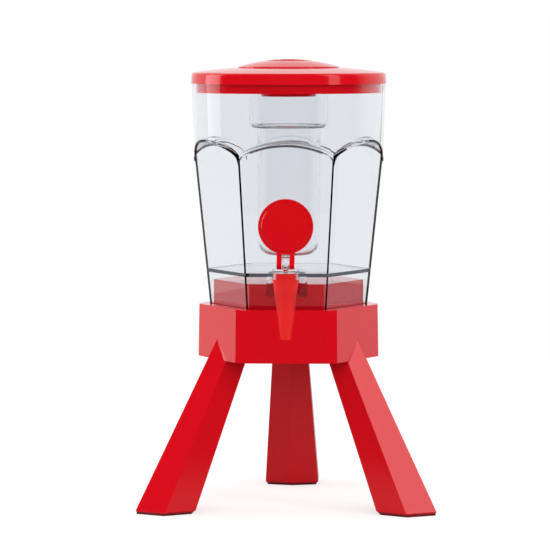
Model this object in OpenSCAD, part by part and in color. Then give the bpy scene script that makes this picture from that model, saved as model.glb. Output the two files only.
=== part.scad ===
// Drinks tower: a clear six-sided tank with a red lid, an ice tube, a lever tap
// and a three-legged stand. Millimetres, +Z up, front towards -Y, and the
// origin on the table under the middle of the whole object.

/* [Stand] */
// Height of the collar's underside above the table
collar_z = 145; // [136:1:154]
// Height of the collar
collar_h = 51; // [47:1:55]
// Distance from the tank's panels out to the collar's faces, at the collar's top
collar_over = 11.7; // [10:0.1:13]
// How much further out the collar's faces are at the underside
collar_flare = 0.7; // [0:0.1:1.2]
// Length cut off each face at the corners of the collar
corner_cut = 6.5; // [3:0.5:9]
// Wall of the collar and of the plinth
stand_wall = 3; // [2.6:0.1:3.4]
// Depth of the groove that the tank's skirt stands in
groove_depth = 8; // [5:0.5:12]
// Height of the plinth above the floor of the groove
plinth_h = 32; // [28:0.5:33]
// Depth by which the legs stand in their sockets
leg_insert = 24; // [18:1:28]

/* [Legs] */
// How far the outer ridge of a leg stands out from the collar's underside
leg_proud = 10.3; // [9:0.1:12]
// How much further out the outer ridge is on the table than at the collar
leg_splay = 79; // [70:0.5:88]
// Depth of a leg from ridge to ridge, on the table
foot_depth = 59.4; // [54:0.2:64]
// Depth of a leg from ridge to ridge, at the collar's underside
leg_depth = 38.9; // [37:0.1:41]
// Width of a leg across its flat sides, on the table
foot_w = 54.2; // [48:0.2:60]
// Width of a leg across its flat sides, at the collar's underside
leg_w = 34.8; // [32:0.2:37]
// Angle between the two faces of the outer ridge, in degrees
outer_ridge_angle = 112; // [108:1:116]
// Angle between the two faces of the inner ridge, in degrees
inner_ridge_angle = 147; // [142:1:152]
// Wall of a leg
leg_wall = 2.6; // [2.2:0.1:3]
// Thickness of the foot pads that show under the legs
pad_t = 2; // [1.5:0.1:3]
// Height of the plug by which a pad holds in its leg
pad_plug_h = 8; // [5:0.5:12]

/* [Tank] */
// Diameter of the tank at its mouth
mouth_d = 188.8; // [187:0.2:191]
// Height from the tank's floor to its mouth
tank_h = 180.5; // [177:0.5:186]
// Height of the tank's floor above the top of the collar
floor_rise = 34.6; // [34:0.2:37]
// Lean of the round upper body from the vertical, in degrees
tank_draft = 2; // [1.7:0.05:2.3]
// Lean of the six flat panels from the vertical, in degrees
panel_lean = 5.1; // [4.9:0.05:5.3]
// Height from the floor to the feet of the panels' arches
arch_foot_h = 104.4; // [100:0.2:108]
// Rise of the panels' arches
arch_rise = 18; // [15:0.5:22]
// Slope of the ledges over the panels, in degrees
ledge_slope = 18; // [10:1:30]
// Radius at the shoulders of the panels' arches
arch_shoulder_r = 10; // [8:0.5:12]
// Wall of the tank
tank_wall = 3; // [2.6:0.1:3.2]
// Thickness of the tank's floor
floor_t = 3.4; // [2.8:0.1:3.8]
// Inner radius of the drain trough under the floor
trough_r = 17.2; // [17:0.1:18]
// Wall of the drain trough
trough_wall = 1.6; // [1.4:0.1:2.2]
// Length of the drain trough, from the front wall inwards
trough_l = 24; // [21:0.5:28]

/* [Lid] */
// How far the lid's rim stands out from the tank's mouth
lid_over = 0.8; // [0.2:0.1:2]
// Height of the lid's rim
rim_h = 10.8; // [9:0.1:12.5]
// Radius of the rim's upper edge
rim_round = 3; // [2:0.2:4]
// Depth of the skirt inside the tank's mouth
lid_skirt_h = 8.7; // [6:0.1:11]
// Rise of the lid from its rim to the cap
lid_rise = 4.4; // [3.8:0.1:6]
// Thickness of the lid
lid_t = 2.6; // [2.2:0.1:3]
// Diameter of the ice hole
ice_hole_d = 54; // [50:0.5:57]

/* [Cap] */
// Diameter of the cap over the ice hole
cap_d = 98.4; // [94:0.2:102]
// Height of the cap's dome above its edge
cap_rise = 6; // [5:0.1:7]
// Height of the cap's edge above the lid's seat
cap_edge_h = 4.5; // [3.8:0.1:5]
// Thickness of the cap
cap_t = 2.2; // [1.8:0.1:2.6]
// Depth of the cap's skirt below the top of the lid's seat
plug_h = 24.3; // [20:0.1:28]
// Diameter of the finger recess in the cap
recess_d = 42.6; // [38:0.2:45]
// Depth of the finger recess
recess_depth = 15; // [12:0.5:16]
// Thickness of the grip bar across the finger recess
grip_t = 6; // [4:0.5:8]
// Height of the grip bar's crown above the recess
grip_crown = 1.2; // [0.8:0.1:3]

/* [Ice tube] */
// Outer diameter of the tube under its shoulder
tube_d = 62.2; // [58:0.2:66]
// How far the neck's wall stands out from the tube's
neck_step = 7.4; // [6.6:0.1:8.4]
// How much narrower the tube is at its bottom
tube_taper = 2.2; // [0:0.2:4]
// Depth of the shoulder below the tank's mouth
shoulder_drop = 43.2; // [38:0.2:50]
// Gap between the tube's bottom and the tank's floor
tube_gap = 13.5; // [9:0.5:20]
// Radius of the shoulder under the neck
shoulder_r = 6; // [4:0.2:6.6]
// Radius of the tube's lower edge
tube_round = 13; // [9:0.5:18]
// Wall of the tube
tube_wall = 2; // [1.6:0.1:2.4]

/* [Tap] */
// Distance from the tank's front panel to the tap's axis, at the shank
tap_stand = 20.3; // [19.8:0.1:22]
// Drop of the tap's shank below the underside of the floor
shank_drop = 8.2; // [8:0.1:8.6]
// Outer diameter of the shank
shank_d = 10; // [9.4:0.1:10.4]
// Bore of the shank
shank_bore = 6.4; // [5:0.1:6.8]
// Diameter of the tap's body under the bonnet
body_d = 25.6; // [25:0.1:26]
// Height of the body's top above the shank's axis
body_rise = 7.8; // [7.6:0.1:8.4]
// Length of the body from its top to the end of the spout
spout_l = 57.8; // [54:0.2:62]
// Outer diameter of the spout's end
spout_d = 10.3; // [9.8:0.1:11]
// Bore of the spout's end
outlet_d = 7.8; // [7.2:0.1:8]
// Bore of the valve chamber
chamber_d = 19.8; // [19.4:0.1:20.2]
// Bore of the throat under the valve seat
throat_d = 9.8; // [9:0.1:10.4]
// Height of the bonnet
bonnet_h = 9.9; // [9.4:0.1:11]
// Diameter of the bonnet
bonnet_d = 26.2; // [26.2:0.1:27]
// Diameter of the valve stem
stem_d = 4.4; // [4:0.1:4.8]
// Lift of the valve when the lever is all the way forward
valve_lift = 3; // [2.4:0.1:3.2]

/* [Lever] */
// Forward swing of the lever, in degrees
lever_swing = 45; // [35:1:50]
// Height of the lever's pivot above the bonnet
pivot_rise = 9.5; // [9:0.1:10.5]
// Diameter of the pivot
pivot_d = 3.8; // [3.2:0.1:4.2]
// Width across the lever's two prongs
fork_w = 16.9; // [16:0.1:18]
// Width of the slot between the prongs
fork_slot = 7.4; // [7:0.1:8]
// Diameter of the thumb disc
disc_d = 53.2; // [49:0.2:56]
// Thickness of the thumb disc
disc_t = 7; // [6:0.2:8]
// Height of the disc's middle above the pivot
disc_rise = 30.7; // [30.4:0.1:34]
// Number of ribs round the edge of the disc
disc_ribs = 66; // [48:1:80]

/* [Fasteners] */
// Width of the shank nut across its flats
nut_af = 15; // [14:0.2:15.4]
// Thickness of the shank nut
nut_t = 6; // [5:0.2:7]
// Thickness of each shank washer
washer_t = 1.8; // [1.4:0.1:2.2]
// Diameter of the leg screws
screw_d = 4; // [3.6:0.1:4.4]
// Length of the leg screws under the head
screw_l = 16; // [12:0.5:20]

/* [Hidden] */
$fn = 96;

// Turns of the three legs about the tower, from +X
left_turn = 210;
right_turn = 330;
back_turn = 90;

// Clearances and the overrun of every cut
over = 1;
sliding_gap = 0.3;
fit_gap = 0.2;
running_gap = 0.05;
skirt_gap = 0.8;
plinth_gap = 0.7;

// Heights of the stand and of the tank
collar_top = collar_z + collar_h;
groove_z = collar_top - groove_depth;
deck_z = groove_z - stand_wall;
leg_top = collar_z + leg_insert;
plinth_top = groove_z + plinth_h;
floor_z = collar_top + floor_rise;
floor_under = floor_z - floor_t;
mouth_z = floor_z + tank_h;
spring_z = floor_z + arch_foot_h;

// Round body and panels: the panels' corners sit just inside the round body
// where the arches spring from
corner_set = 0.5;
spring_r = mouth_d / 2 - (mouth_z - spring_z) * tan(tank_draft);
spring_a = (spring_r - corner_set) * cos(30);
arch_half_w = spring_r * sin(30);
function round_r(z) = mouth_d / 2 - (mouth_z - z) * tan(tank_draft);
function panel_a(z) = spring_a - (spring_z - z) * tan(panel_lean);

// Diameter of the ice tube's neck
neck_d = tube_d + 2 * neck_step;

// Reach of the collar, of the legs and of the tap
collar_a = panel_a(collar_top) + collar_over;
leg_reach = collar_a + collar_flare + leg_proud;
foot_reach = leg_reach + leg_splay;
shank_z = floor_under - shank_drop;
tap_reach = panel_a(shank_z) + tap_stand;

// Reach of the object to the front and back sets the tower's place in y
foot_round = 1.5;
foot_low_z = pad_t + foot_round;
foot_side = leg_outline(foot_low_z, 0)[1];
front_corner = foot_side[0] * cos(60) + foot_side[1] * sin(60);
cam_h0 = pivot_rise - running_gap;
cam_rate = valve_lift / (lever_swing * PI / 180);
function cam_y(a) = -(cam_h0 + cam_rate * a * PI / 180) * sin(a) - cam_rate * cos(a);
function cam_z(a) = -(cam_h0 + cam_rate * a * PI / 180) * cos(a) + cam_rate * sin(a);
tap_front = tap_reach + max(bonnet_d / 2, -cam_y(lever_swing));
tower_y = (max(front_corner, tap_front) - leg_out(foot_low_z)) / 2;

// Heights of the tap
body_top = shank_z + body_rise;
spout_z = body_top - spout_l;
bonnet_top = body_top + bonnet_h;
pivot_z = bonnet_top + pivot_rise;
disc_z = pivot_z + disc_rise;

// Planes along the shank, as distances from the tower's axis
boss_proud = 1.3;
boss_r = 13.2;
boss_face = panel_a(shank_z) + boss_proud;
trough_front = panel_a(floor_under - trough_r) - tank_wall;
flange_t = 2.6;
flange_r = 9.6;
shank_neck_r = 6.4;

module at_tower() {
    translate([0, tower_y, 0]) children();
}

// Skin over matching outlines, each at its own height
module loft(outlines, heights) {
    n = len(outlines[0]);
    top = len(outlines) - 1;
    polyhedron(
        points = [for (k = [0:top]) for (p = outlines[k]) [p[0], p[1], heights[k]]],
        faces = concat(
            [[for (i = [0:n - 1]) i]],
            [for (k = [0:top - 1]) for (i = [0:n - 1])
                [k * n + i, (k + 1) * n + i, (k + 1) * n + (i + 1) % n, k * n + (i + 1) % n]],
            [[for (i = [n - 1:-1:0]) top * n + i]]));
}

// Upright six-sided solid with flats to the front and back
module hex_solid(z0, a0, z1, a1) {
    translate([0, 0, z0])
        cylinder(h = z1 - z0, r1 = a0 / cos(30), r2 = a1 / cos(30), $fn = 6);
}

// Outline of a hexagon with its corners cut off
function cut_hexagon(a, cut) = [for (i = [0:5]) for (s = [-1, 1])
    let (r = a / cos(30), here = [r * cos(60 * i), r * sin(60 * i)],
        next = [r * cos(60 * (i + s)), r * sin(60 * (i + s))])
    here + (next - here) * cut / r];

// Stand: collar, groove, plinth and leg sockets in one moulding
function leg_share(z) = z / collar_z;
function leg_out(z) = foot_reach + (leg_reach - foot_reach) * leg_share(z);
function leg_in(z) = leg_out(z) - foot_depth - (leg_depth - foot_depth) * leg_share(z);
function leg_half_w(z) = (foot_w + (leg_w - foot_w) * leg_share(z)) / 2;

// Outline of a leg at a height, grown all round: two ridges and two flat sides
function leg_outline(z, grow) =
    let (half = leg_half_w(z) + grow,
        out = leg_out(z) + grow / sin(outer_ridge_angle / 2),
        in = leg_in(z) - grow / sin(inner_ridge_angle / 2),
        out_side = out - half / tan(outer_ridge_angle / 2),
        in_side = in + half / tan(inner_ridge_angle / 2))
    [[out, 0], [out_side, half], [in_side, half], [in, 0], [in_side, -half], [out_side, -half]];

module leg_solid(z0, z1, grow) {
    loft([leg_outline(z0, grow), leg_outline(z1, grow)], [z0, z1]);
}

socket_wall = 2.4;
socket_h = 20;
tab_reach = 6.7;
post_reach = leg_in(leg_top) - tab_reach;
post_r = 5;
rib_t = 2;
screw_head_r = screw_d;
screw_head_h = screw_d * 0.6;

// The plinth is upright, so that the lowest edge of the skirt passes over it
plinth_a = panel_a(groove_z) - tank_wall - plinth_gap;

module collar_wall() {
    low_a = collar_a + collar_flare;
    difference() {
        loft([cut_hexagon(low_a, corner_cut), cut_hexagon(collar_a, corner_cut)],
            [collar_z, collar_top]);
        loft([cut_hexagon(low_a - stand_wall, corner_cut),
                cut_hexagon(collar_a - stand_wall, corner_cut)],
            [collar_z - over, collar_top - stand_wall]);
        hex_solid(collar_top - stand_wall - over, panel_a(collar_top) + skirt_gap,
            collar_top + over, panel_a(collar_top) + skirt_gap);
    }
}

module groove_and_plinth() {
    groove_a = panel_a(collar_top) + skirt_gap;
    difference() {
        hex_solid(deck_z, groove_a + stand_wall, collar_top - stand_wall / 2, groove_a + stand_wall);
        hex_solid(groove_z, groove_a, collar_top, groove_a);
        hex_solid(deck_z - over, plinth_a - stand_wall, groove_z, plinth_a - stand_wall);
    }
    difference() {
        hex_solid(deck_z, plinth_a, plinth_top, plinth_a);
        hex_solid(deck_z - over, plinth_a - stand_wall, plinth_top - stand_wall, plinth_a - stand_wall);
        // Room for the drain trough, with the nut of the tap in it
        translate([-bay_half_w, -plinth_a - over, bay_z])
            cube([2 * bay_half_w, plinth_a + over - bay_in, plinth_top - bay_z + over]);
    }
}

// Bay in the plinth that the drain trough hangs in
bay_half_w = trough_r + trough_wall + plinth_gap;
bay_z = floor_under - bay_half_w;
bay_in = trough_front - trough_l - trough_wall - plinth_gap;

module trough_bay() {
    difference() {
        translate([-bay_half_w - rib_t, -plinth_a, bay_z - rib_t])
            cube([2 * (bay_half_w + rib_t), plinth_a - bay_in + rib_t, plinth_top - bay_z + rib_t]);
        translate([-bay_half_w, -plinth_a - over, bay_z])
            cube([2 * bay_half_w, plinth_a + over - bay_in, plinth_top - bay_z + over]);
    }
}

// Post for a leg's screw, with a rib out to the wall of the collar
module screw_post() {
    inner_top = plinth_top - stand_wall / 2;
    wall_a = collar_a - stand_wall / 2;
    translate([post_reach, 0, leg_top]) cylinder(h = inner_top - leg_top, r = post_r);
    translate([post_reach, -rib_t / 2, leg_top])
        cube([plinth_a - stand_wall / 2 - post_reach, rib_t, inner_top - leg_top]);
    translate([post_reach, -rib_t / 2, leg_top])
        cube([wall_a - post_reach, rib_t, deck_z + stand_wall / 2 - leg_top]);
}

module leg_socket() {
    wall_a = collar_a - stand_wall / 2;
    intersection() {
        leg_solid(leg_top - socket_h, leg_top + stand_wall, fit_gap + socket_wall);
        translate([0, -wall_a, leg_top - socket_h]) cube([wall_a, 2 * wall_a, socket_h + stand_wall]);
    }
}

module base_collar() {
    color("firebrick") at_tower() difference() {
        union() {
            collar_wall();
            groove_and_plinth();
            trough_bay();
            for (turn = [left_turn, right_turn, back_turn]) rotate(turn) {
                screw_post();
                leg_socket();
            }
        }
        for (turn = [left_turn, right_turn, back_turn]) rotate(turn) {
            leg_solid(collar_z - over, leg_top, fit_gap);
            leg_tab(leg_top - socket_h - over, leg_top, fit_gap);
            translate([post_reach, 0, leg_top - over])
                cylinder(h = screw_l, r = screw_d / 2 + running_gap);
        }
    }
}

// Legs: hollow mouldings, open at the foot, with a screw tab at the top
tab_w = 14;
tab_t = 3;

// Screw tab between two heights, from the screw out into the leg, grown all round
module leg_tab(z0, z1, grow) {
    half = tab_w / 2 + grow;
    translate([post_reach, -half, z0]) cube([tab_reach + leg_depth / 4, 2 * half, z1 - z0]);
    translate([post_reach, 0, z0]) cylinder(h = z1 - z0, r = half);
}

module leg() {
    difference() {
        union() {
            loft([leg_outline(pad_t, -foot_round), leg_outline(pad_t + foot_round, 0),
                    leg_outline(leg_top, 0)],
                [pad_t, pad_t + foot_round, leg_top]);
            leg_tab(leg_top - tab_t, leg_top, 0);
        }
        leg_solid(pad_t - over, leg_top - tab_t, -leg_wall);
        translate([post_reach, 0, leg_top - tab_t - over])
            cylinder(h = tab_t + 2 * over, r = screw_d / 2 + running_gap);
    }
}

module left_leg() { color("firebrick") at_tower() rotate(left_turn) leg(); }
module right_leg() { color("firebrick") at_tower() rotate(right_turn) leg(); }
module back_leg() { color("firebrick") at_tower() rotate(back_turn) leg(); }

// Pad under a leg, with the plug that holds it in the leg
module foot_pad() {
    loft([leg_outline(0, -foot_round - pad_t / 2), leg_outline(pad_t, -foot_round)], [0, pad_t]);
    loft([leg_outline(pad_t - fit_gap, -leg_wall - fit_gap),
            leg_outline(pad_t + pad_plug_h, -leg_wall - fit_gap)],
        [pad_t - fit_gap, pad_t + pad_plug_h]);
}

module left_foot_pad() { color("dimgray") at_tower() rotate(left_turn) foot_pad(); }
module right_foot_pad() { color("dimgray") at_tower() rotate(right_turn) foot_pad(); }
module back_foot_pad() { color("dimgray") at_tower() rotate(back_turn) foot_pad(); }

// One screw through each leg's tab into its post
module leg_screws() {
    color("silver") at_tower() for (turn = [left_turn, right_turn, back_turn]) rotate(turn)
        translate([post_reach, 0, leg_top - tab_t]) difference() {
            union() {
                translate([0, 0, -screw_head_h]) cylinder(h = screw_head_h, r = screw_head_r);
                translate([0, 0, -over / 2]) cylinder(h = screw_l - tab_t, r = screw_d / 2);
            }
            translate([-screw_head_r * 0.7, -screw_d / 10, -screw_head_h - over])
                cube([screw_head_r * 1.4, screw_d / 5, over + screw_head_h / 2]);
            translate([-screw_d / 10, -screw_head_r * 0.7, -screw_head_h - over])
                cube([screw_d / 5, screw_head_r * 1.4, over + screw_head_h / 2]);
        }
}

// How far the shoulder arcs stand past the crown arc, so that the arcs cross
arch_lap = 0.03;

// Cutter with an arched end of three arcs on straight sides that run down by
// drop. It widens with height, so that it leaves a sloping ledge
module arch_cutter(half_w, rise, r, drop, h) {
    spread = h * tan(ledge_slope);
    crown_r = (pow(half_w - r, 2) + rise * rise - r * r) / (2 * (rise - r));
    crown_y = rise - crown_r;
    wedge_share = 2 * crown_r / -crown_y;
    crossing_r = crown_r - arch_lap;
    intersection() {
        translate([0, crown_y, 0]) cylinder(h = h, r1 = crossing_r, r2 = crossing_r + spread, $fn = 192);
        linear_extrude(height = h) polygon([[0, crown_y],
            [(half_w - r) * wedge_share, crown_y * (1 - wedge_share)],
            [-(half_w - r) * wedge_share, crown_y * (1 - wedge_share)]]);
    }
    for (s = [-1, 1]) translate([s * (half_w - r), 0, 0]) cylinder(h = h, r1 = r, r2 = r + spread);
    loft([for (w = [half_w, half_w + spread]) [[-w, -drop], [w, -drop], [w, 0], [-w, 0]]], [0, h]);
}

// Everything outside the six panels, with the panels moved inwards by inset
module panel_cuts(inset) {
    drop = (spring_z - groove_z) / cos(panel_lean) + tank_wall;
    grow = inset * (1 - sin(ledge_slope)) / cos(ledge_slope);
    for (turn = [0:60:300]) rotate(turn)
        translate([0, -spring_a, spring_z]) rotate([90 + panel_lean, 0, 0])
            translate([0, 0, -inset])
                arch_cutter(arch_half_w + grow, arch_rise + grow, arch_shoulder_r + grow, drop, mouth_d / 4);
}

// Body of the tank between two heights, with its faces moved inwards by inset
module tank_form(z0, z1, inset) {
    difference() {
        translate([0, 0, z0]) cylinder(h = z1 - z0,
            r1 = round_r(z0) - inset / cos(tank_draft), r2 = round_r(z1) - inset / cos(tank_draft));
        panel_cuts(inset);
    }
}

// Half-round trough that takes the last of the drink to the tap
module trough(r, front, l) {
    translate([0, -front + l, floor_under]) rotate([90, 0, 0]) linear_extrude(height = l) {
        intersection() {
            circle(r = r);
            translate([-r, -r]) square([2 * r, r]);
        }
        translate([-r, 0]) square([2 * r, floor_t / 2]);
    }
}

module tank() {
    color("lightsteelblue", 0.4) at_tower() difference() {
        union() {
            difference() {
                tank_form(groove_z, mouth_z, 0);
                tank_form(floor_z, mouth_z + over, tank_wall);
                tank_form(groove_z - over, floor_under, tank_wall);
            }
            intersection() {
                trough(trough_r + trough_wall, trough_front + tank_wall,
                    trough_l + trough_wall + tank_wall);
                tank_form(groove_z, floor_z, 0);
            }
            translate([0, -trough_front, shank_z]) rotate([90, 0, 0])
                cylinder(h = boss_face - trough_front, r = boss_r);
        }
        trough(trough_r, trough_front, trough_l);
        translate([-trough_r, -trough_front, floor_under])
            cube([2 * trough_r, trough_l, floor_t + over]);
        translate([0, 0, shank_z]) rotate([90, 0, 0])
            cylinder(h = boss_face + over, r = shank_d / 2 + fit_gap);
    }
}

// Tap body: spout, valve chamber and the threaded shank, in one clear moulding
neck_wall = 1.6;
neck_r = chamber_d / 2 + neck_wall;
neck_top = body_top + bonnet_h * 0.5;
seat_drop = 6;
seat_low_z = shank_z - seat_drop;
lip_round = 0.5;
seat_high_z = seat_low_z + (chamber_d - throat_d) / 2;
outlet_l = 6;
thread_pitch = 1.5;
thread_depth = 0.3;

module at_tap() {
    translate([0, tower_y - tap_reach, 0]) children();
}

// Plain thread: rings round a rod or a bore, along +Z
module thread_rings(r, l, depth) {
    for (z = [thread_pitch:thread_pitch:l - thread_pitch / 2]) translate([0, 0, z])
        rotate_extrude() translate([r, 0])
            polygon([[-depth, -thread_pitch / 4], [0, -thread_pitch / 4], [depth, 0],
                [0, thread_pitch / 4], [-depth, thread_pitch / 4]]);
}

module tap_body() {
    shank_in = tap_reach - trough_front + washer_t + nut_t + thread_pitch;
    washer_y = tap_reach - boss_face - washer_t;
    color("lightsteelblue", 0.4) at_tap() difference() {
        union() {
            rotate_extrude() polygon([[0, spout_z], [spout_d / 2 - lip_round, spout_z],
                [spout_d / 2, spout_z + lip_round], [body_d / 2, body_top],
                [neck_r, body_top], [neck_r, neck_top], [0, neck_top]]);
            translate([0, 0, body_top + thread_pitch / 2])
                thread_rings(neck_r - thread_depth, neck_top - body_top - thread_pitch, thread_depth);
            translate([0, 0, shank_z]) rotate([-90, 0, 0]) {
                cylinder(h = washer_y, r = shank_neck_r);
                translate([0, 0, washer_y - flange_t]) cylinder(h = flange_t, r = flange_r);
                cylinder(h = shank_in, r = shank_d / 2);
            }
        }
        rotate_extrude() polygon([[0, spout_z - over], [outlet_d / 2, spout_z - over],
            [outlet_d / 2, spout_z + outlet_l], [throat_d / 2, seat_low_z],
            [chamber_d / 2, seat_high_z], [chamber_d / 2, neck_top + over], [0, neck_top + over]]);
        translate([0, 0, shank_z]) rotate([-90, 0, 0])
            cylinder(h = shank_in + over, r = shank_bore / 2);
    }
}

// Bonnet: ribbed screw cap over the valve chamber, with a guide for the stem
guide_r = 3.2;
guide_h = 3.4;
guide_fillet = 0.3;
bonnet_round = 1.2;
bonnet_groove = 0.35;
module tap_bonnet() {
    bonnet_in_r = neck_r + fit_gap;
    roof_z = neck_top + over;
    color("lightsteelblue", 0.4) at_tap() difference() {
        rotate_extrude() polygon(concat(
            [[0, body_top], [bonnet_d / 2 - bonnet_groove, body_top]],
            [for (k = [0:3]) for (p = [[0, 0.04], [0, 0.17], [bonnet_groove, 0.2]])
                [bonnet_d / 2 - p[0], body_top + bonnet_h * (k * 0.2 + p[1])]],
            [[bonnet_d / 2, body_top + bonnet_h * 0.86], [bonnet_d / 2 - bonnet_round, bonnet_top],
                [guide_r + guide_fillet, bonnet_top], [guide_r, bonnet_top + guide_h],
                [0, bonnet_top + guide_h]]));
        translate([0, 0, body_top - over]) cylinder(h = roof_z - body_top + over, r = bonnet_in_r);
        cylinder(h = bonnet_top + guide_h + over, r = stem_d / 2 + sliding_gap);
    }
}

// Stem: rod with a disc held in the seat, and a cross bar that the lever turns on
stem_disc_r = 3.4;
stem_disc_t = 2;
stem_drop = 0.5;
stem_low_z = shank_z - stem_drop;
module stem_rod(grow) {
    translate([0, 0, stem_low_z - grow]) cylinder(h = pivot_z - stem_low_z + grow, r = stem_d / 2 + grow);
    translate([0, 0, stem_low_z - grow]) cylinder(h = stem_disc_t + 2 * grow, r = stem_disc_r + grow);
}

module tap_stem() {
    color("lightsteelblue", 0.4) at_tap() {
        stem_rod(0);
        translate([0, 0, pivot_z]) rotate([0, 90, 0])
            cylinder(h = fork_w - 2 * over, r = pivot_d / 2, center = true);
        for (s = [-1, 1]) translate([s * fork_slot * 0.27, 0, pivot_z]) rotate([0, 90, 0])
            cylinder(h = fork_slot * 0.28, r = pivot_d * 0.68, center = true);
    }
}

// Seat: silicone plug whose cone closes the throat and whose lip slides in the chamber
plug_gap = 1.3;
plug_r = chamber_d / 2 - plug_gap;
lip_r = chamber_d / 2 - sliding_gap;
lip_t = 1.4;
nose_in = 0.7;
seat_gap = 0.3;
module tap_seat() {
    nose_r = throat_d / 2 - nose_in;
    nose_z = seat_low_z - nose_in + seat_gap;
    seat_top = body_top - fit_gap;
    color("red") at_tap() difference() {
        rotate_extrude() polygon([[0, nose_z], [nose_r, nose_z],
            [plug_r, nose_z + plug_r - nose_r], [plug_r, seat_top - lip_t - plug_gap],
            [lip_r, seat_top - lip_t], [lip_r, seat_top], [0, seat_top]]);
        stem_rod(running_gap);
    }
}

// Lever: two prongs on the pivot with cam feet on the bonnet, under a thumb disc
prong_back = 4.4;
prong_r = 4.6;
arm_lap = 2.4;
arm_top = disc_rise - sqrt(pow(disc_d / 2, 2) - pow(fork_w / 2, 2)) + arm_lap;
foot_lip = 1.6;
arm_proud = 0.6;
face_depth = 0.8;
face_rim = 3;
face_r = disc_d / 2 - face_rim;
back_rim = 5;
rib_depth = 0.7;

// Side outline of a prong about its pivot: y towards the back, z up. The foot
// keeps touching the flat bonnet as the lever swings, because the distance
// from the pivot to the touching line grows evenly with the angle
function cam_outline() = [for (a = [0:lever_swing / 9:lever_swing]) [cam_y(a), cam_z(a)]];

module prong() {
    polygon(concat(
        [[prong_back, -cam_h0]], cam_outline(),
        [[cam_y(lever_swing) + foot_lip, cam_z(lever_swing) + 1.5 * foot_lip],
            [-disc_t / 2 - arm_proud, pivot_d * 0.8],
            [-disc_t / 2, arm_top], [disc_t / 2, arm_top], [prong_back, pivot_d]]));
}

module tap_lever() {
    color("red") at_tap() difference() {
        union() {
            for (s = [-1, 1]) translate([s * (fork_w + fork_slot) / 4, 0, pivot_z])
                rotate([90, 0, 90]) linear_extrude(height = (fork_w - fork_slot) / 2, center = true)
                    prong();
            translate([0, disc_t / 2, disc_z]) rotate([90, 0, 0]) linear_extrude(height = disc_t)
                polygon([for (i = [0:2 * disc_ribs - 1]) let (r = disc_d / 2 - (i % 2) * rib_depth)
                    [r * cos(180 * i / disc_ribs), r * sin(180 * i / disc_ribs)]]);
        }
        translate([0, 0, pivot_z]) rotate([0, 90, 0])
            cylinder(h = fork_w + 2 * over, r = pivot_d / 2 + running_gap, center = true);
        translate([0, face_depth - disc_t / 2, disc_z]) rotate([90, 0, 0])
            cylinder(h = disc_t, r = face_r);
        translate([0, disc_t / 2 + over, disc_z]) rotate([90, 0, 0])
            cylinder(h = over + disc_t * 0.4, r = disc_d / 2 - back_rim);
    }
}

// Cover plate pressed into the front of the thumb disc
module lever_cap() {
    r = face_r - fit_gap;
    color("red") at_tap() translate([0, 0, disc_z]) rotate([90, 0, 0]) rotate_extrude()
        polygon([[0, disc_t / 2 - face_depth], [r, disc_t / 2 - face_depth],
            [r, disc_t / 2 + face_depth / 4], [r - face_depth * 0.75, disc_t / 2 + face_depth],
            [0, disc_t / 2 + face_depth]]);
}

washer_rim = 0.6;

// Washer either side of the tank's wall, and the nut inside the trough
module shank_washer(front) {
    translate([0, -front, shank_z]) rotate([-90, 0, 0]) difference() {
        cylinder(h = washer_t, r = nut_af / 2 + washer_rim);
        translate([0, 0, -over]) cylinder(h = washer_t + 2 * over, r = shank_d / 2 + fit_gap);
    }
}
module outer_washer() { color("dimgray") at_tower() shank_washer(boss_face + washer_t); }
module inner_washer() { color("dimgray") at_tower() shank_washer(trough_front); }
module shank_nut() {
    color("white") at_tower() translate([0, washer_t - trough_front, shank_z])
        rotate([-90, 0, 0]) difference() {
            cylinder(h = nut_t, r = nut_af / 2 / cos(30), $fn = 6);
            translate([0, 0, -over]) cylinder(h = nut_t + 2 * over, r = shank_d / 2 + fit_gap);
        }
}

// Lid: rim on the tank's edge, skirt inside its mouth, seat and hole for the cap
lid_r = mouth_d / 2 + lid_over;
skirt_r = round_r(mouth_z - lid_skirt_h) - tank_wall / cos(tank_draft) - sliding_gap;
skirt_t = 2.3;
rim_lean = 0.5;
seat_depth = 3.4;
seat_z = mouth_z + rim_h + lid_rise - seat_depth;
seat_r = cap_d / 2 + sliding_gap;
collar_r = neck_d / 2 + sliding_gap;
collar_t = 2.4;
collar_drop = 11;
sleeve_drop = 9;
seal_t = 1.4;
seal_lap = 0.4;
recess_taper = 1.8;

module lid() {
    round_c = lid_r - rim_lean - rim_round;
    cone_z = mouth_z + rim_h;
    under_z = seat_z - lid_t;
    // Low dome from the rim to the cap's seat, in steps from 0 to 1
    dome = [for (k = [1:7]) let (in_share = k / 8)
        [round_c + (seat_r - round_c) * in_share, cone_z + lid_rise * (1 - pow(1 - in_share, 1.6))]];
    color("firebrick") at_tower() rotate_extrude() union() {
        polygon(concat([[skirt_r - skirt_t, mouth_z - lid_skirt_h], [skirt_r, mouth_z - lid_skirt_h],
            [skirt_r, mouth_z], [lid_r, mouth_z], [round_c + rim_round, cone_z - rim_round],
            [round_c, cone_z - rim_round], [round_c, cone_z]], dome, [[seat_r, cone_z + lid_rise],
            [seat_r, seat_z], [ice_hole_d / 2, seat_z], [ice_hole_d / 2, seat_z - sleeve_drop],
            [ice_hole_d / 2 + cap_t, seat_z - sleeve_drop], [ice_hole_d / 2 + cap_t, under_z],
            [seat_r + lid_t, under_z], [seat_r + lid_t, cone_z + lid_rise - lid_t],
            [skirt_r - skirt_t, cone_z - lid_t]]));
        translate([round_c, cone_z - rim_round]) circle(r = rim_round);
        translate([collar_r, under_z - collar_drop]) square([collar_t, collar_drop + lid_t / 2]);
    }
}

// Ring that seals the tube's neck against the lid
module tube_seal() {
    color("dimgray") at_tower() translate([0, 0, seat_z - lid_t - seal_t]) difference() {
        cylinder(h = seal_t, r = neck_d / 2);
        translate([0, 0, -over]) cylinder(h = seal_t + 2 * over, r = neck_d / 2 - tube_wall - seal_lap);
    }
}

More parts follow.
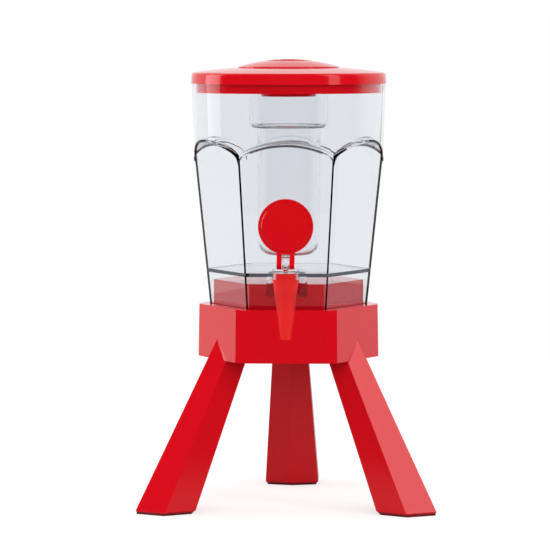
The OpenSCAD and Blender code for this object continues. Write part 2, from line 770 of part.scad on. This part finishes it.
// Ice tube: stepped tube with rounded shoulder and bottom, open at the top
tube_low = floor_z + tube_gap;
tube_top = seat_z - lid_t - seal_t;
shoulder_z = mouth_z - shoulder_drop;

// Points of a quarter turn about a centre, from one angle to the next
function quarter(x, z, r, from, to) = [for (k = [0:8]) let (a = from + (to - from) * k / 8)
    [x + r * cos(a), z + r * sin(a)]];

// Outline of the tube from its axis outwards and up, moved inwards by inset
function tube_outline(inset) =
    let (low_r = (tube_d - tube_taper) / 2, round = min(tube_round, low_r), neck = neck_d / 2,
        in = shoulder_z + inset)
    concat([[0, tube_low + inset]],
        quarter(low_r - round, tube_low + round, round - inset, 270, 360),
        [[tube_d / 2 - inset, in]],
        quarter(neck - shoulder_r, shoulder_z + shoulder_r, shoulder_r - inset, 270, 360));

module ice_tube() {
    color("lightsteelblue", 0.4) at_tower() rotate_extrude() difference() {
        polygon(concat(tube_outline(0), [[neck_d / 2, tube_top], [0, tube_top]]));
        polygon(concat(tube_outline(tube_wall),
            [[neck_d / 2 - tube_wall, tube_top + over], [0, tube_top + over]]));
    }
}

// Cap: low dome on the lid's seat, skirt into the ice hole, finger recess with a grip
module ice_cap() {
    edge_z = seat_z + cap_edge_h;
    recess_r = recess_d / 2;
    crown_z = edge_z + cap_rise;
    dome_c = (crown_z + edge_z) / 2 - (cap_d * cap_d / 4 - recess_r * recess_r) / (2 * cap_rise);
    dome_r = sqrt(cap_d * cap_d / 4 + pow(edge_z - dome_c, 2));
    plug_out = ice_hole_d / 2 - sliding_gap;
    recess_low_r = recess_r - recess_taper;
    recess_z = crown_z - recess_depth;
    grip_r = (recess_r * recess_r + grip_crown * grip_crown) / (2 * grip_crown);
    color("firebrick") at_tower() {
        rotate_extrude() difference() {
            union() {
                intersection() {
                    translate([0, dome_c]) circle(r = dome_r, $fn = 192);
                    translate([0, seat_z]) square([cap_d / 2, cap_d]);
                }
                translate([0, seat_z - plug_h]) square([plug_out, plug_h + cap_t]);
            }
            // Hollow inside the skirt, round the recess
            polygon([[recess_low_r + cap_t, recess_z - cap_t], [plug_out - cap_t, recess_z - cap_t],
                [plug_out - cap_t, crown_z - 2.2 * cap_t], [recess_r + cap_t, crown_z - 1.6 * cap_t]]);
            translate([0, seat_z - plug_h - over])
                square([plug_out - cap_t, recess_z - cap_t - seat_z + plug_h + over]);
            // Hollow under the dome, outside the skirt
            intersection() {
                translate([0, dome_c]) circle(r = dome_r - cap_t, $fn = 192);
                translate([plug_out + cap_t, seat_z - over]) square([cap_d / 2 - plug_out - 3 * cap_t, cap_d]);
            }
            // Finger recess
            polygon([[0, recess_z], [recess_low_r, recess_z], [recess_r, crown_z], [recess_r, crown_z + cap_d / 2],
                [0, crown_z + cap_d / 2]]);
        }
        intersection() {
            translate([0, grip_t / 2, crown_z + grip_crown - grip_r]) rotate([90, 0, 0])
                cylinder(h = grip_t, r = grip_r, $fn = 192);
            translate([0, 0, recess_z - cap_t / 2])
                cylinder(h = recess_depth + cap_t / 2 + grip_crown, r1 = recess_low_r, r2 = recess_r);
        }
    }
}

base_collar();
left_leg();
right_leg();
back_leg();
left_foot_pad();
right_foot_pad();
back_foot_pad();
leg_screws();
tank();
tap_body();
tap_bonnet();
shank_nut();
outer_washer();
inner_washer();
tap_stem();
tap_seat();
tap_lever();
lever_cap();
lid();
ice_tube();
tube_seal();
ice_cap();
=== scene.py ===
import math

import bmesh
import bpy
import numpy as np
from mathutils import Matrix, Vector


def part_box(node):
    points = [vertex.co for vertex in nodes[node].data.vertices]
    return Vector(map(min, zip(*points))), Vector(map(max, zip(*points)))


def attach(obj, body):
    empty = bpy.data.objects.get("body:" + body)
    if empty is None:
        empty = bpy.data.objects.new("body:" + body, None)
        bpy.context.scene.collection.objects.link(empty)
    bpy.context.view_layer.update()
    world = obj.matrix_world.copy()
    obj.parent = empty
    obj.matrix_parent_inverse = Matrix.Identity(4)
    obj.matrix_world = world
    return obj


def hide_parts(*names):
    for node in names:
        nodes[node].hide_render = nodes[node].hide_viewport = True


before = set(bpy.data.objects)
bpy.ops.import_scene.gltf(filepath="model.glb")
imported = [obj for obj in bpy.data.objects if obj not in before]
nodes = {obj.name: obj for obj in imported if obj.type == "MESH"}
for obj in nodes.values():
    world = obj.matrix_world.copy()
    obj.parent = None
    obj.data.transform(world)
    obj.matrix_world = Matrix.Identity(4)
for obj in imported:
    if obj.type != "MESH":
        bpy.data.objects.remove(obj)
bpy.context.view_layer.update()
mm = 0.001
print("frame loaded with", len(nodes), "nodes")

# The tower's upright axis is the ice tube's, at x = 0 and this y
tubeLow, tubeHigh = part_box("ice_tube")
axisY = (tubeLow[1] + tubeHigh[1]) / 2

# Camera at the photograph's place, with a long lens: level distance from the tower's
# axis, height over the table, pitch down, orbit towards +X and step to the side. The
# lens and the sensor are in millimetres
view = {"distance": 3.004, "height": 0.4582, "pitch": 4.46, "orbit": 2.0,
        "sideStep": -0.0133, "lens": 201.5, "sensor": 36}
orbit = math.radians(view["orbit"])
pitch = math.radians(view["pitch"])
cameraData = bpy.data.cameras.new("camera")
camera = bpy.data.objects.new("camera", cameraData)
bpy.context.scene.collection.objects.link(camera)
cameraData.sensor_width = view["sensor"]
cameraData.lens = view["lens"]
camera.location = (
    view["distance"] * math.sin(orbit) + view["sideStep"] * math.cos(orbit),
    axisY - view["distance"] * math.cos(orbit) + view["sideStep"] * math.sin(orbit),
    view["height"])
forward = Vector((-math.sin(orbit) * math.cos(pitch), math.cos(orbit) * math.cos(pitch),
                  -math.sin(pitch)))
camera.rotation_euler = forward.to_track_quat("-Z", "Y").to_euler()
bpy.context.scene.camera = camera
print("camera placed")


def newMaterial(name):
    material = bpy.data.materials.new(name)
    material.use_nodes = True
    shader = material.node_tree.nodes["Principled BSDF"]
    return material, material.node_tree, shader


def addNoise(tree, scale, detail, stretch=None):
    place = tree.nodes.new("ShaderNodeTexCoord")
    noise = tree.nodes.new("ShaderNodeTexNoise")
    noise.inputs["Scale"].default_value = scale
    noise.inputs["Detail"].default_value = detail
    if stretch:
        mapping = tree.nodes.new("ShaderNodeMapping")
        mapping.inputs["Scale"].default_value = stretch
        tree.links.new(place.outputs["Object"], mapping.inputs["Vector"])
        tree.links.new(mapping.outputs["Vector"], noise.inputs["Vector"])
    else:
        tree.links.new(place.outputs["Object"], noise.inputs["Vector"])
    return noise.outputs["Fac"]


def addRange(tree, source, low, high):
    ranged = tree.nodes.new("ShaderNodeMapRange")
    ranged.inputs["To Min"].default_value = low
    ranged.inputs["To Max"].default_value = high
    tree.links.new(source, ranged.inputs["Value"])
    return ranged.outputs["Result"]


# Colour that drifts between the look's colour and shade with the noise
def addTint(tree, shader, noise, look):
    tint = tree.nodes.new("ShaderNodeMix")
    tint.data_type = "RGBA"
    tint.inputs["A"].default_value = (*look["colour"], 1)
    tint.inputs["B"].default_value = (*look["shade"], 1)
    tree.links.new(noise, tint.inputs["Factor"])
    tree.links.new(tint.outputs["Result"], shader.inputs["Base Color"])


# Roughness and bump that follow the noise
def addFinish(tree, shader, noise, look):
    tree.links.new(addRange(tree, noise, *look["rough"]), shader.inputs["Roughness"])
    bump = tree.nodes.new("ShaderNodeBump")
    bump.inputs["Strength"].default_value = look["bump"]
    bump.inputs["Distance"].default_value = look["depth"]
    tree.links.new(noise, bump.inputs["Height"])
    tree.links.new(bump.outputs["Normal"], shader.inputs["Normal"])


def plastic(name, look):
    material, tree, shader = newMaterial(name)
    addTint(tree, shader, addNoise(tree, look["patch"], noiseDetail["patch"]), look)
    addFinish(tree, shader, addNoise(tree, look["grain"], noiseDetail["grain"]), look)
    shader.inputs["IOR"].default_value = look["ior"]
    shader.inputs["Metallic"].default_value = look.get("metal", 0)
    return material


def clearPlastic(name, look):
    material, tree, shader = newMaterial(name)
    wave = addNoise(tree, look["wave"], noiseDetail["wave"], look["stretch"])
    addTint(tree, shader, wave, look)
    addFinish(tree, shader, wave, look)
    shader.inputs["IOR"].default_value = look["ior"]
    shader.inputs["Transmission Weight"].default_value = look["clear"]
    shader.inputs["Specular IOR Level"].default_value = look["specular"]
    shader.inputs["Sheen Weight"].default_value = look["sheen"]
    shader.inputs["Sheen Tint"].default_value = (*look["sheenTint"], 1)
    return material


# In a look, patch, grain and wave are scales of noise. The clear pieces bend light less
# than real plastic does, which keeps their walls as calm as in the photograph
noiseDetail = {"patch": 2.0, "grain": 3.0, "wave": 1.0}
red = {"colour": (0.79, 0.002, 0.010), "shade": (0.74, 0.0015, 0.009),
       "patch": 9, "grain": 700, "rough": (0.08, 0.15), "bump": 0.05, "depth": 0.0001,
       "ior": 1.5}
clear = {"colour": (0.965, 0.975, 0.985), "shade": (0.975, 0.98, 0.985),
         "wave": 14, "stretch": (1, 1, 0.25), "rough": (0.0, 0.01), "bump": 0.1, "depth": 0.001,
         "ior": 1.35, "specular": 0.5, "clear": 1, "sheen": 0, "sheenTint": (1, 0.35, 0.35)}
rubber = {"colour": (0.20, 0.2, 0.2), "shade": (0.15, 0.15, 0.15),
          "patch": 30, "grain": 900, "rough": (0.5, 0.65), "bump": 0.2, "depth": 0.0002,
          "ior": 1.5}
materials = {
    "stand": plastic("standRed", red),
    # Darker red for the plinth: painted shade of the recess inside the tank's skirt
    "plinth": plastic("plinthPaintedShade", {
        **red, "colour": (0.58, 0.001, 0.008), "shade": (0.52, 0.0008, 0.007)}),
    "lid": plastic("lidRed", red),
    "lever": plastic("leverRed", {**red, "colour": (0.78, 0.003, 0.006)}),
    "seat": plastic("seatRed", {**red, "colour": (0.75, 0.004, 0.006), "rough": (0.3, 0.4)}),
    "pad": plastic("padRubber", {
        **rubber, "colour": (0.15, 0.004, 0.006), "shade": (0.12, 0.003, 0.005)}),
    "seal": plastic("sealRubber", rubber),
    "nut": plastic("nutWhite", {
        **rubber, "colour": (0.75, 0.75, 0.72), "shade": (0.7, 0.7, 0.68),
        "rough": (0.35, 0.45)}),
    "screw": plastic("screwSteel", {
        **rubber, "colour": (0.5, 0.5, 0.52), "shade": (0.45, 0.45, 0.47),
        "rough": (0.25, 0.4), "metal": 1}),
    "tank": clearPlastic("tankClear", {
        **clear, "colour": (0.885, 0.9, 0.925), "shade": (0.895, 0.91, 0.93),
        "specular": 0.1, "ior": 1.3}),
    # Near-black tint for the tank's corners and floor edge: painted shade
    "tankPaintedShade": clearPlastic("tankPaintedShade", {
        **clear, "colour": (0.06, 0.065, 0.08), "shade": (0.07, 0.075, 0.09), "ior": 1.3}),
    "tube": clearPlastic("tubeClear", {**clear, "specular": 0.3}),
    "tap": clearPlastic("tapClear", clear),
    "spout": clearPlastic("spoutClear", {
        **clear, "colour": (0.97, 0.03, 0.03), "shade": (0.98, 0.05, 0.045),
        "ior": 1.33, "clear": 0.6, "sheen": 0.05}),
}
clearLooks = ("tank", "tube", "tap", "spout")
print("materials made")


# Copy of a node's mesh with its points merged, so that edges can be rounded and
# surfaces shaded smooth. Lengths are in millimetres and angles in degrees
copyLook = {"merge": 0.01, "shortest": 0.005, "flat": 0.2, "bevelSteps": 2, "sharp": 25}


def mergedCopy(name, node, sharp=copyLook["sharp"], bevel=0):
    source = nodes[node].data
    mesh = bpy.data.meshes.new(name)
    points = np.empty(len(source.vertices) * 3)
    source.vertices.foreach_get("co", points)
    mesh.from_pydata(points.reshape(-1, 3).tolist(), [],
                     [list(face.vertices) for face in source.polygons])
    shape = bmesh.new()
    shape.from_mesh(mesh)
    bmesh.ops.remove_doubles(shape, verts=shape.verts, dist=copyLook["merge"] * mm)
    bmesh.ops.dissolve_degenerate(shape, dist=copyLook["shortest"] * mm, edges=shape.edges)
    bmesh.ops.dissolve_limit(shape, angle_limit=math.radians(copyLook["flat"]),
                             verts=shape.verts, edges=shape.edges)
    bmesh.ops.recalc_face_normals(shape, faces=shape.faces)
    shape.to_mesh(mesh)
    shape.free()
    mesh.shade_smooth()
    piece = bpy.data.objects.new(name, mesh)
    bpy.context.scene.collection.objects.link(piece)
    if bevel:
        rounding = piece.modifiers.new("edges", "BEVEL")
        rounding.width = bevel * mm
        rounding.segments = copyLook["bevelSteps"]
        rounding.limit_method = "ANGLE"
        rounding.angle_limit = math.radians(sharp)
        rounding.miter_outer = "MITER_ARC"
        piece.modifiers.new("normals", "WEIGHTED_NORMAL").keep_sharp = True
    else:
        mesh.set_sharp_from_angle(angle=math.radians(sharp))
    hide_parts(node)
    return piece


# Lamps and matt shading reach what is behind a clear piece
def letLightIn(piece):
    piece.visible_shadow = False
    piece.visible_diffuse = False


def finishPiece(piece, body, material):
    piece.data.materials.clear()
    piece.data.materials.append(materials[material])
    if material in clearLooks:
        letLightIn(piece)
    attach(piece, body)


# Collar: its faces above top, the plinth inside the tank's skirt, get a deeper red that is
# painted shade of the recess round them
collarLook = {"bevel": 0.5, "top": 196.2}
collarPiece = mergedCopy("standCollar", "base_collar", bevel=collarLook["bevel"])
finishPiece(collarPiece, "base", "stand")
# Second material: the plinth's painted shade
collarPiece.data.materials.append(materials["plinth"])
for face in collarPiece.data.polygons:
    face.material_index = 1 if face.center[2] > collarLook["top"] * mm else 0

legLook = {"bevel": 0.6}
for side in ("left", "right", "back"):
    legPiece = mergedCopy(side + "LegShell", side + "_leg", bevel=legLook["bevel"])
    finishPiece(legPiece, "base", "stand")


# Tank: its panels reach out from the axis by springReach at springHeight and lean in
# below it, between low and archTop, except round the tap's boss. Their moulded corners,
# which are less than near from a panel, and the edge of the tank's floor get a dark tint:
# painted shade for the dark lines that bent light makes there. The front arch's two ends
# stay clear, between the distances of frontArch from the middle
tankLook = {"bevel": 1.2, "steps": 2, "sharp": 25, "springHeight": 335.0,
            "springReach": 79.02, "lean": 5.1, "near": 1.2, "onPlane": 0.3, "cut": 0.001,
            "floor": (227.2, 230.6), "archTop": 356, "low": 189, "boss": 17,
            "bossTop": 233, "frontArch": (33, 42)}
panelTurns = np.radians(np.arange(0, 360, 60))


# A point in millimetres from the axis, and its distance from the nearest panel
def panelPlace(point):
    x, y, z = np.array(point) / mm
    y -= axisY / mm
    reach = np.max(x * np.sin(panelTurns) + y * np.cos(panelTurns))
    drop = tankLook["springHeight"] - z
    panel = tankLook["springReach"] - drop * math.tan(math.radians(tankLook["lean"]))
    nearBoss = y < 0 and abs(x) < tankLook["boss"] and z < tankLook["bossTop"]
    inRange = tankLook["low"] < z < tankLook["archTop"] and not nearBoss
    return x, y, z, abs(reach - panel) if inRange else math.inf


tankPiece = mergedCopy("tankShell", "tank", tankLook["sharp"])
shape = bmesh.new()
shape.from_mesh(tankPiece.data)
corners = [edge for edge in shape.edges if len(edge.link_faces) == 2
           and edge.calc_face_angle(0) > math.radians(tankLook["sharp"])
           and all(panelPlace(end.co)[3] < tankLook["onPlane"] for end in edge.verts)]
rounded = bmesh.ops.bevel(
    shape, geom=corners, offset=tankLook["bevel"] * mm, offset_type="OFFSET",
    segments=tankLook["steps"], profile=0.5, affect="EDGES", clamp_overlap=False,
    material=-1, miter_outer="SHARP")
for face in rounded["faces"]:
    face.material_index = 1
for height in tankLook["floor"]:
    walls = [face for face in shape.faces
             if panelPlace(face.calc_center_median())[3] < tankLook["near"]]
    edges = {edge for face in walls for edge in face.edges}
    points = {point for face in walls for point in face.verts}
    bmesh.ops.bisect_plane(shape, geom=[*walls, *edges, *points], dist=tankLook["cut"] * mm,
                           plane_co=(0, 0, height * mm), plane_no=(0, 0, 1))
for face in shape.faces:
    x, y, z, gap = panelPlace(face.calc_center_median())
    inBand = tankLook["floor"][0] < z < tankLook["floor"][1]
    archEnd = (y < 0 and tankLook["frontArch"][0] < abs(x) < tankLook["frontArch"][1]
               and z > tankLook["springHeight"])
    # Faces in the corners and the floor band take the painted-shade tint
    dark = gap < tankLook["near"] and (face.material_index == 1 or inBand) and not archEnd
    face.material_index = 1 if dark else 0
print("tank corners rounded", len(corners))
finishPiece(tankPiece, "tank", "tank")
# Second material: the tank's painted shade
tankPiece.data.materials.append(materials["tankPaintedShade"])
shape.to_mesh(tankPiece.data)
shape.free()
tankPiece.data.shade_smooth()
tankPiece.data.set_sharp_from_angle(angle=math.radians(tankLook["sharp"]))
tankPiece.modifiers.new("normals", "WEIGHTED_NORMAL").keep_sharp = True

# Round pieces are smooth up to this angle
roundLook = {"sharp": 30}
roundPieces = (
    ("tapBodyShell", "tap_body", "tank", "tap_clear", "spout"),
    ("tapBonnetShell", "tap_bonnet", "tank", "tap_clear", "tap"),
    ("lidShell", "lid", "lid", "lid_red", "lid"),
    ("iceTubeShell", "ice_tube", "lid", "tank_clear", "tube"))
for name, node, body, slot, material in roundPieces:
    finishPiece(mergedCopy(name, node, roundLook["sharp"]), body, material)

capLook = {"bevel": 0.3}
finishPiece(mergedCopy("iceCapShell", "ice_cap", bevel=capLook["bevel"]), "cap", "lid")

# The other nodes are shown as they are
nodeLooks = {
    "left_foot_pad": "pad", "right_foot_pad": "pad", "back_foot_pad": "pad",
    "leg_screws": "screw", "shank_nut": "nut", "outer_washer": "seal", "inner_washer": "seal",
    "tap_stem": "tap", "tap_seat": "seat", "tap_lever": "lever", "lever_cap": "lever",
    "tube_seal": "seal"}
for node, look in nodeLooks.items():
    nodes[node].data.materials.clear()
    nodes[node].data.materials.append(materials[look])
    if look in clearLooks:
        letLightIn(nodes[node])
print("pieces made")


# 1 for a ray that left clear plastic and met no reflection on its way
def addStraight(tree, pathInfo):
    straight = tree.nodes.new("ShaderNodeMath")
    straight.operation = "GREATER_THAN"
    tree.links.new(pathInfo.outputs["Is Transmission Ray"], straight.inputs[0])
    tree.links.new(pathInfo.outputs["Glossy Depth"], straight.inputs[1])
    return straight.outputs["Value"]


# Floor: a disc under the object. Its glow makes it white to the camera and through
# clear plastic, and its grey keeps the shadow
floorLook = {"radius": 1.3, "sides": 128, "grey": 0.5, "rough": 0.9, "glow": 0.62}
floorData = bpy.data.meshes.new("floor")
around = np.linspace(0, 2 * np.pi, floorLook["sides"], endpoint=False)
ring = np.stack([np.cos(around), np.sin(around), np.zeros_like(around)], axis=1)
floorData.from_pydata((ring * floorLook["radius"]).tolist(), [], [list(range(len(ring)))])
floor = bpy.data.objects.new("floor", floorData)
bpy.context.scene.collection.objects.link(floor)
floorMaterial, tree, shader = newMaterial("floorWhite")
shader.inputs["Base Color"].default_value = (*[floorLook["grey"]] * 3, 1)
shader.inputs["Roughness"].default_value = floorLook["rough"]
shader.inputs["Specular IOR Level"].default_value = 0
shader.inputs["Emission Color"].default_value = (1, 1, 1, 1)
pathInfo = tree.nodes.new("ShaderNodeLightPath")
seenRay = tree.nodes.new("ShaderNodeMath")
seenRay.operation = "MAXIMUM"
tree.links.new(pathInfo.outputs["Is Camera Ray"], seenRay.inputs[0])
tree.links.new(addStraight(tree, pathInfo), seenRay.inputs[1])
tree.links.new(addRange(tree, seenRay.outputs["Value"], 0, floorLook["glow"]),
               shader.inputs["Emission Strength"])
floorData.materials.append(floorMaterial)
print("floor made")


# Mix from a node's output to a number
def addMix(tree, factor, first, second):
    mix = tree.nodes.new("ShaderNodeMix")
    tree.links.new(factor, mix.inputs["Factor"])
    tree.links.new(first, mix.inputs["A"])
    mix.inputs["B"].default_value = second
    return mix.outputs["Result"]


# World: white to the camera and through clear plastic. In gloss it is bright behind the
# object and dark in front of it, blended between the two ends of edge, and matt
# shading gets an even fill
worldLook = {"fill": 0.72, "bright": 1.0, "dark": 0.02, "edge": (-0.1, 0.45)}
world = bpy.data.worlds.new("studio")
bpy.context.scene.world = world
world.use_nodes = True
tree = world.node_tree
background = tree.nodes["Background"]
background.inputs["Color"].default_value = (1, 1, 1, 1)
pathInfo = tree.nodes.new("ShaderNodeLightPath")
place = tree.nodes.new("ShaderNodeTexCoord")
direction = tree.nodes.new("ShaderNodeSeparateXYZ")
tree.links.new(place.outputs["Generated"], direction.inputs[0])
backdrop = tree.nodes.new("ShaderNodeMapRange")
backdrop.interpolation_type = "SMOOTHSTEP"
backdrop.inputs["From Min"].default_value = worldLook["edge"][0]
backdrop.inputs["From Max"].default_value = worldLook["edge"][1]
backdrop.inputs["To Min"].default_value = worldLook["dark"]
backdrop.inputs["To Max"].default_value = worldLook["bright"]
tree.links.new(direction.outputs["Y"], backdrop.inputs["Value"])
through = addMix(tree, addStraight(tree, pathInfo), backdrop.outputs["Result"],
                 worldLook["bright"])
matt = addMix(tree, pathInfo.outputs["Diffuse Depth"], through, worldLook["fill"])
seen = addMix(tree, pathInfo.outputs["Is Camera Ray"], matt, worldLook["bright"])
tree.links.new(seen, background.inputs["Strength"])

# Soft boxes: turn is the direction from the front, to the right when positive, and
# rise is the height over the horizon, both in degrees. All of them aim at one height
lampLook = {"aimHeight": 0.22}


def softBox(name, look):
    light = bpy.data.lights.new(name, "AREA")
    light.shape = "RECTANGLE"
    light.size, light.size_y = look["size"]
    # Power that gives the wanted brightness: area times pi times brightness
    light.energy = look["size"][0] * look["size"][1] * math.pi * look["bright"]
    lamp = bpy.data.objects.new(name, light)
    bpy.context.scene.collection.objects.link(lamp)
    turn, rise = math.radians(look["turn"]), math.radians(look["rise"])
    aim = Vector((math.sin(turn) * math.cos(rise), -math.cos(turn) * math.cos(rise),
                  math.sin(rise)))
    lamp.location = Vector((0, axisY, lampLook["aimHeight"])) + aim * look["away"]
    lamp.rotation_euler = (-aim).to_track_quat("-Z", "Y").to_euler()
    lamp.visible_transmission = False
    return lamp


softBox("rightBox", {"turn": 56, "rise": 32, "away": 2.0, "size": (0.5, 1.6), "bright": 2.6})
softBox("leftBox", {"turn": -98, "rise": 15, "away": 2.0, "size": (0.9, 1.5), "bright": 3})
frontFill = softBox("frontFill", {"turn": 0, "rise": 25, "away": 3.2, "size": (2.4, 1.6),
                                  "bright": 1.7})
frontFill.visible_glossy = False
bpy.context.scene.view_settings.view_transform = "Standard"
print("studio made")
